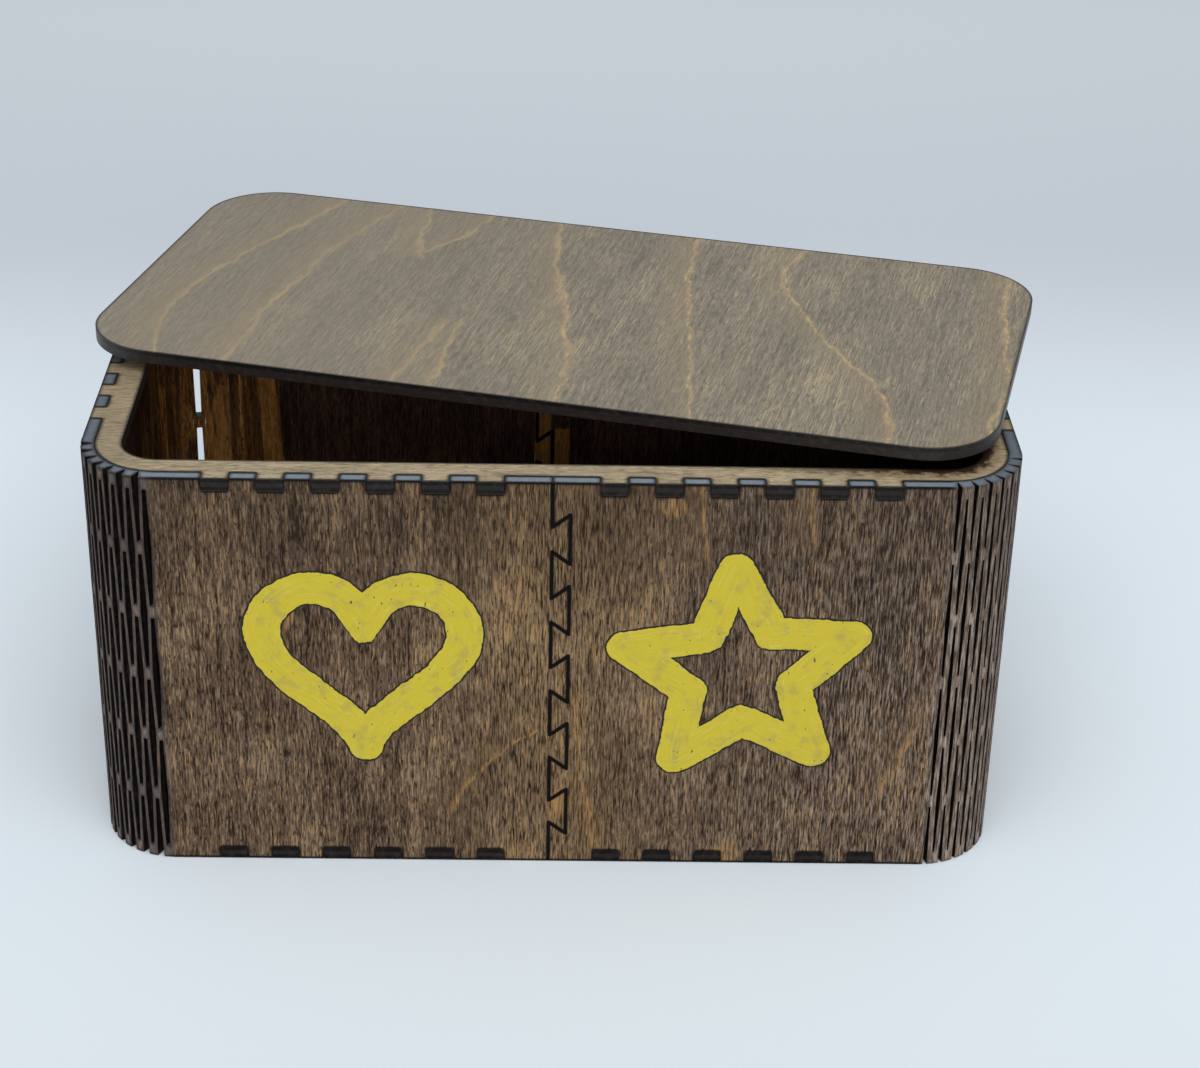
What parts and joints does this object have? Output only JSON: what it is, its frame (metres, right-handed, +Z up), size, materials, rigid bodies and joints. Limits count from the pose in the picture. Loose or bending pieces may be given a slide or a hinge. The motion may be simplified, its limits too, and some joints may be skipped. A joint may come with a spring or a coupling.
{
  "type": "wooden keepsake box",
  "caption": "Rectangular box of stained laser-cut plywood with slit flexible rounded corners, dovetailed wall seams, a fingered rim and base, and a loose lift-off lid.",
  "frame": {"origin": "centre of the underside of the base plate, on the surface that the box stands on", "axes": "+X along the box's length, to the right seen from the front; +Y from the front to the back; +Z up"},
  "size_m": [0.2278, 0.1559, 0.106],
  "materials": {
    "wall_ply": "dark walnut stain, satin, charred cut edges",
    "base_ply": "dark walnut stain, satin, charred cut edges",
    "rim_ply": "thin walnut stain, satin, charred cut edges",
    "locator_ply": "walnut stain, matt, charred cut edges",
    "lid_ply": "grey walnut stain, satin, charred cut edges"
  },
  "bodies": {
    "box": {"left_wall": "wall_ply", "right_wall": "wall_ply", "base_plate": "base_ply", "top_rim": "rim_ply"},
    "lid": {"lid_plate": "lid_ply", "lid_locator": "locator_ply"}
  },
  "joints": [
    {"name": "lid_lift", "type": "slide", "parent": "box", "child": "lid", "axis": [0, 0, 1], "range_m": [0, 0.12]}
  ]
}
